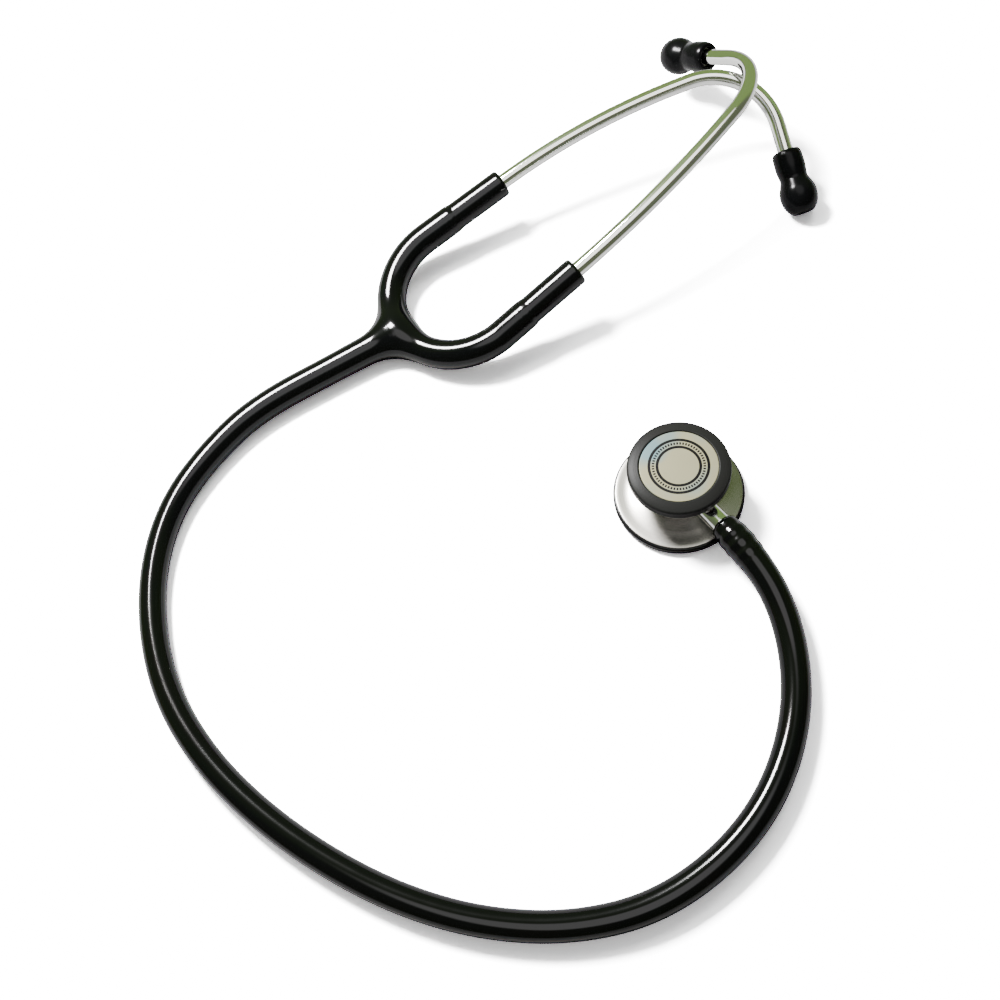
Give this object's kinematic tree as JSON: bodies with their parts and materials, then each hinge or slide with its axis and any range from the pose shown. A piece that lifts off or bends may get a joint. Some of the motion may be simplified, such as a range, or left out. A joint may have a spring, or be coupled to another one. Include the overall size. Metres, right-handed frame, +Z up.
{
  "type": "stethoscope",
  "caption": "Dual-head stethoscope with a turning chestpiece, one-piece black hose and yoke, sprung steel ear tubes and soft push-on eartips.",
  "frame": {"origin": "on the resting surface, under the middle of the headset and chestpiece taken together", "axes": "+X from the hose towards the ears along the headset, +Y towards the headset's left side, +Z up"},
  "size_m": [0.3027, 0.2702, 0.0435],
  "materials": {
    "black_pvc": "glossy moulded PVC",
    "polished_steel": "polished",
    "turned_steel": "fine turned",
    "spring_steel": "rolled strip",
    "black_rubber": "smooth matte",
    "rim_plastic": "matte",
    "silver_film": "silver film with printed rings",
    "clear_film": "satin film"
  },
  "bodies": {
    "hose_and_yoke": {"yoke_crotch": "black_pvc", "leaf_spring_bend": "spring_steel", "hose": "black_pvc", "stem": "polished_steel", "stem_snap_ring": "spring_steel", "stem_o_ring": "black_rubber"},
    "left_arm": {"left_yoke_arm": "black_pvc", "leaf_spring_left_leg": "spring_steel"},
    "right_arm": {"right_yoke_arm": "black_pvc", "leaf_spring_right_leg": "spring_steel"},
    "left_tube": {"left_ear_tube": "polished_steel", "left_ferrule": "turned_steel"},
    "right_tube": {"right_ear_tube": "polished_steel", "right_ferrule": "turned_steel"},
    "left_tip": {"left_eartip": "black_rubber"},
    "right_tip": {"right_eartip": "black_rubber"},
    "chestpiece": {"chestpiece_body": "turned_steel", "large_rim": "rim_plastic", "small_rim": "rim_plastic", "small_support_ring": "rim_plastic", "detent_ball": "polished_steel", "detent_spring": "spring_steel"},
    "large_membrane": {"large_diaphragm": "clear_film"},
    "small_membrane": {"small_diaphragm": "silver_film"}
  },
  "joints": [
    {"name": "left_arm_open", "type": "hinge", "parent": "hose_and_yoke", "child": "left_arm", "pos_m": [-0.03384, 0.07797, 0.01151], "axis": [-0.2079, 0, 0.9781], "range_deg": [0, 8], "stiffness_Nm_per_rad": 2},
    {"name": "left_ear_tube_turn", "type": "hinge", "parent": "left_arm", "child": "left_tube", "pos_m": [0.00234, 0.077, 0.0192], "axis": [0.9778, -0.0262, 0.2078], "range_deg": [0, 12]},
    {"name": "left_eartip_pull", "type": "slide", "parent": "left_tube", "child": "left_tip", "axis": [-0.2443, -0.845, -0.4757], "range_m": [0, 0.013]},
    {"name": "right_arm_open", "type": "hinge", "parent": "hose_and_yoke", "child": "right_arm", "pos_m": [-0.03384, 0.02297, 0.01151], "axis": [0.0846, -0.9135, -0.3978], "range_deg": [0, 20], "stiffness_Nm_per_rad": 2},
    {"name": "right_ear_tube_turn", "type": "hinge", "parent": "right_arm", "child": "right_tube", "pos_m": [0.00159, 0.02394, 0.02214], "axis": [0.9575, 0.0261, 0.2873], "range_deg": [0, 25]},
    {"name": "right_eartip_pull", "type": "slide", "parent": "right_tube", "child": "right_tip", "axis": [-0.205, 0.8459, -0.4923], "range_m": [0, 0.013]},
    {"name": "chestpiece_turn", "type": "hinge", "parent": "hose_and_yoke", "child": "chestpiece", "pos_m": [-0.01495, -0.06143, 0.0105], "axis": [0.1097, -0.994, 0], "continuous": true},
    {"name": "large_diaphragm_press", "type": "slide", "parent": "chestpiece", "child": "large_membrane", "axis": [0, 0, 1], "range_m": [0, 0.00035], "stiffness_N_per_m": 3000},
    {"name": "small_diaphragm_press", "type": "slide", "parent": "chestpiece", "child": "small_membrane", "axis": [0, 0, -1], "range_m": [0, 0.00035], "stiffness_N_per_m": 3000}
  ],
  "couplings": [
    {"joint": "left_arm_open", "follows": "right_arm_open", "ratio": 0.4}
  ]
}
